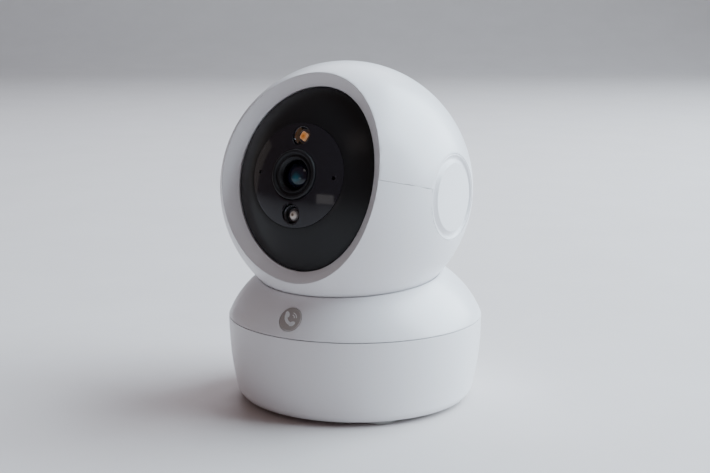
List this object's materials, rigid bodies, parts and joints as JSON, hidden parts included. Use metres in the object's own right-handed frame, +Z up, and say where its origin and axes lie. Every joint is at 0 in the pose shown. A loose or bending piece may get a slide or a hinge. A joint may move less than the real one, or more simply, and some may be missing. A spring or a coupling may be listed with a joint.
{
  "type": "security camera",
  "caption": "Pan-and-tilt home security camera: a ball head with a dark oval lens face, tilting in a round base that turns, with a call button.",
  "frame": {"origin": "on the table plane under the pan axis, at the middle of the base", "axes": "+Z up along the pan axis, -Y the way the camera looks, +X towards the right end of the tilt axis as seen from in front of the camera"},
  "size_m": [0.088, 0.088, 0.117],
  "materials": {
    "white_shell": "satin",
    "white_bezel": "satin",
    "black_face": "matte",
    "dark_window": "gloss",
    "dark_plastic": "satin",
    "lens_glass": "coated gloss",
    "amber_light": "satin",
    "pale_light": "gloss",
    "grey_button": "satin",
    "foot_rubber": "matte",
    "steel": "zinc plated",
    "nylon": "moulded",
    "circuit_board": "solder mask",
    "copper_board": "satin"
  },
  "bodies": {
    "base": {"base_housing": "white_shell", "base_deck": "dark_plastic", "deck_screw_1": "steel", "deck_screw_2": "steel", "deck_screw_3": "steel", "foot_front_right": "foot_rubber", "foot_rear_right": "foot_rubber", "foot_rear_left": "foot_rubber", "foot_front_left": "foot_rubber", "base_board": "circuit_board", "power_port": "steel", "speaker": "dark_plastic", "pan_motor": "steel"},
    "pan_pinion": {"pan_pinion": "nylon"},
    "turret": {"turntable": "dark_plastic", "pan_gear": "nylon", "pan_retainer": "steel", "shoulder": "white_shell", "shoulder_screw_1": "steel", "shoulder_screw_2": "steel", "shoulder_screw_3": "steel", "yoke": "dark_plastic", "yoke_screw_1": "steel", "yoke_screw_2": "steel", "tilt_motor": "steel", "button_board": "circuit_board"},
    "tilt_pinion": {"tilt_pinion": "nylon"},
    "call_button": {"call_button": "grey_button"},
    "reset_button": {"reset_button": "dark_plastic"},
    "head": {"ball_upper_shell": "white_shell", "ball_lower_shell": "white_shell", "side_cap_left": "white_shell", "side_cap_right": "white_shell", "front_bezel": "white_bezel", "face_cover": "black_face", "light_well": "black_face", "infrared_well": "black_face", "window": "dark_window", "lens_barrel": "dark_plastic", "image_sensor": "dark_plastic", "card_socket": "dark_plastic", "lens_glass": "lens_glass", "lens_rear": "lens_glass", "light_led": "amber_light", "infrared_led": "pale_light", "board_screw_1": "steel", "board_screw_2": "steel", "board_screw_3": "steel", "board_screw_4": "steel", "tilt_shaft_left": "steel", "tilt_shaft_right": "steel", "microphone": "steel", "light_sensor": "steel", "tilt_gear": "nylon", "camera_board": "circuit_board", "antenna": "copper_board"}
  },
  "joints": [
    {"name": "pan", "type": "hinge", "parent": "base", "child": "turret", "pos_m": [0, 0, 0.0295], "axis": [0, 0, 1], "range_deg": [-170, 170]},
    {"name": "tilt", "type": "hinge", "parent": "turret", "child": "head", "pos_m": [0, -0.0057, 0.074], "axis": [-1, 0, 0], "range_deg": [-29.6, 25.4]},
    {"name": "pan_pinion_spin", "type": "hinge", "parent": "base", "child": "pan_pinion", "pos_m": [-0.02252, 0.013, 0.0235], "axis": [0, 0, 1], "range_deg": [-568, 568]},
    {"name": "tilt_pinion_spin", "type": "hinge", "parent": "turret", "child": "tilt_pinion", "pos_m": [0.0255, 0.00913, 0.06611], "axis": [-1, 0, 0], "range_deg": [-65, 75]},
    {"name": "call_button_press", "type": "slide", "parent": "turret", "child": "call_button", "axis": [0, 0.8325, -0.554], "range_m": [0, 0.0006], "stiffness_N_per_m": 400, "springref_m": -0.0003},
    {"name": "reset_button_press", "type": "slide", "parent": "head", "child": "reset_button", "axis": [0, 0.5962, 0.8028], "range_m": [0, 0.0005], "stiffness_N_per_m": 400, "springref_m": -0.0003}
  ],
  "couplings": [
    {"joint": "pan_pinion_spin", "follows": "pan", "ratio": -3.3333},
    {"joint": "tilt_pinion_spin", "follows": "tilt", "ratio": -2.5}
  ]
}
